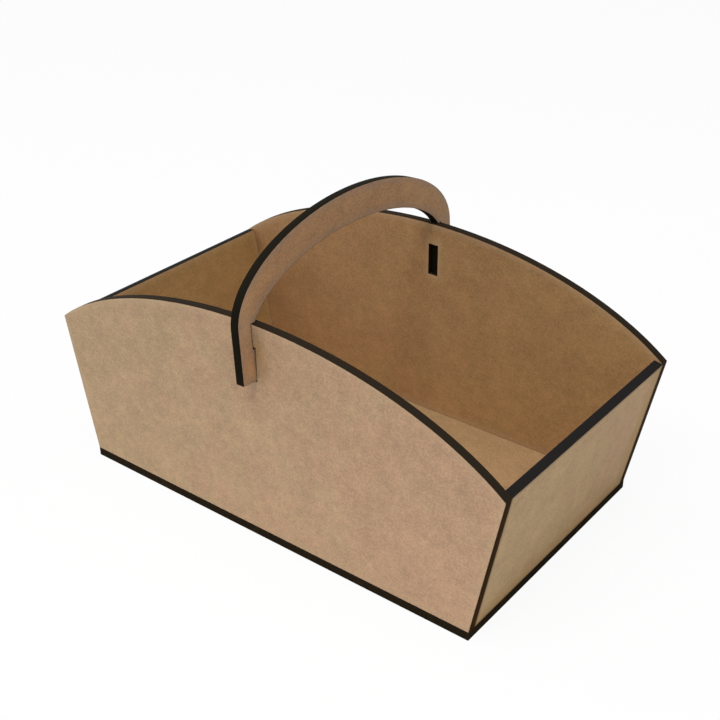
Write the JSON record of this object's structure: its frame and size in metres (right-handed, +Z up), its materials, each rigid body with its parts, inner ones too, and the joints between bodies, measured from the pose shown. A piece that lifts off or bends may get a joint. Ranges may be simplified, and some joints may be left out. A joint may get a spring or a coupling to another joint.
{
  "type": "trug garden basket",
  "caption": "Small flat-panel trug basket: an open tray with crowned side panels, outward-leaning ends and a flat arched handle across the middle.",
  "frame": {"origin": "middle of the underside of the base panel", "axes": "+X along the tray's length to its right end, +Y to its rear side, +Z up"},
  "size_m": [0.231, 0.1394, 0.1362],
  "materials": {
    "fibreboard": "smooth unfinished brown fibreboard, with every cut edge charred black"
  },
  "bodies": {
    "root": {"base_panel": "fibreboard", "front_side_panel": "fibreboard", "rear_side_panel": "fibreboard", "left_end_panel": "fibreboard", "right_end_panel": "fibreboard", "handle": "fibreboard"}
  },
  "joints": []
}
